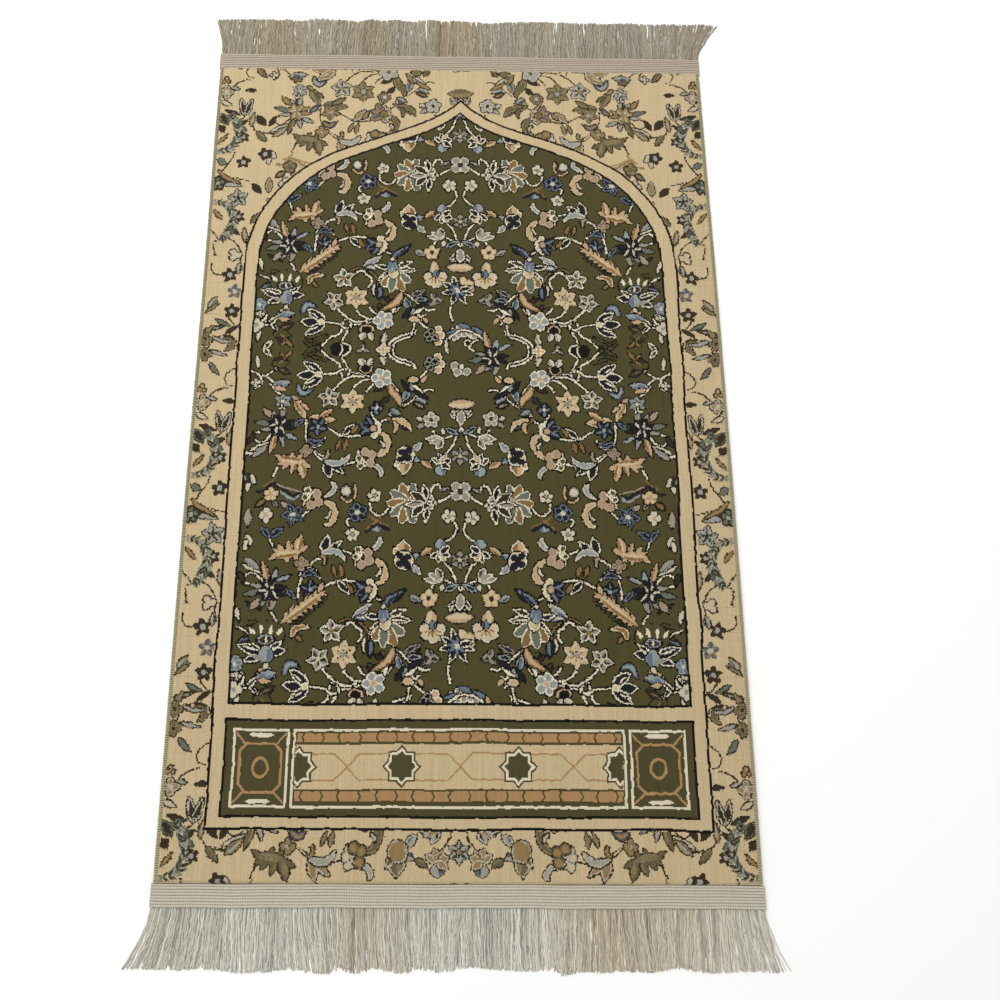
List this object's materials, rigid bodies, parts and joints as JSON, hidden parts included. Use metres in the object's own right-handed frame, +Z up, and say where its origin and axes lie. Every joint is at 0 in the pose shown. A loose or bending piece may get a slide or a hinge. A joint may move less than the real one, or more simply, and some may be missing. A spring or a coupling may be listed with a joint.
{
  "type": "prayer rug",
  "caption": "Flat rectangular pile prayer rug with an arch design, overcast long edges, ribbed heading tape and fringe at both ends.",
  "frame": {"origin": "on the floor, under the middle of the rug with its fringes", "axes": "+X across the rug, +Y along it towards the point of the arch, +Z up"},
  "size_m": [0.7544, 1.2857, 0.007],
  "materials": {
    "pile": "matte",
    "overcast_yarn": "matte",
    "heading_tape": "satin",
    "fringe_strands": "satin"
  },
  "bodies": {
    "root": {"rug_cloth": "pile", "overcast_edge_left": "overcast_yarn", "overcast_edge_right": "overcast_yarn", "heading_tape_foot": "heading_tape", "heading_tape_head": "heading_tape", "fringe_foot": "fringe_strands", "fringe_head": "fringe_strands"}
  },
  "joints": []
}
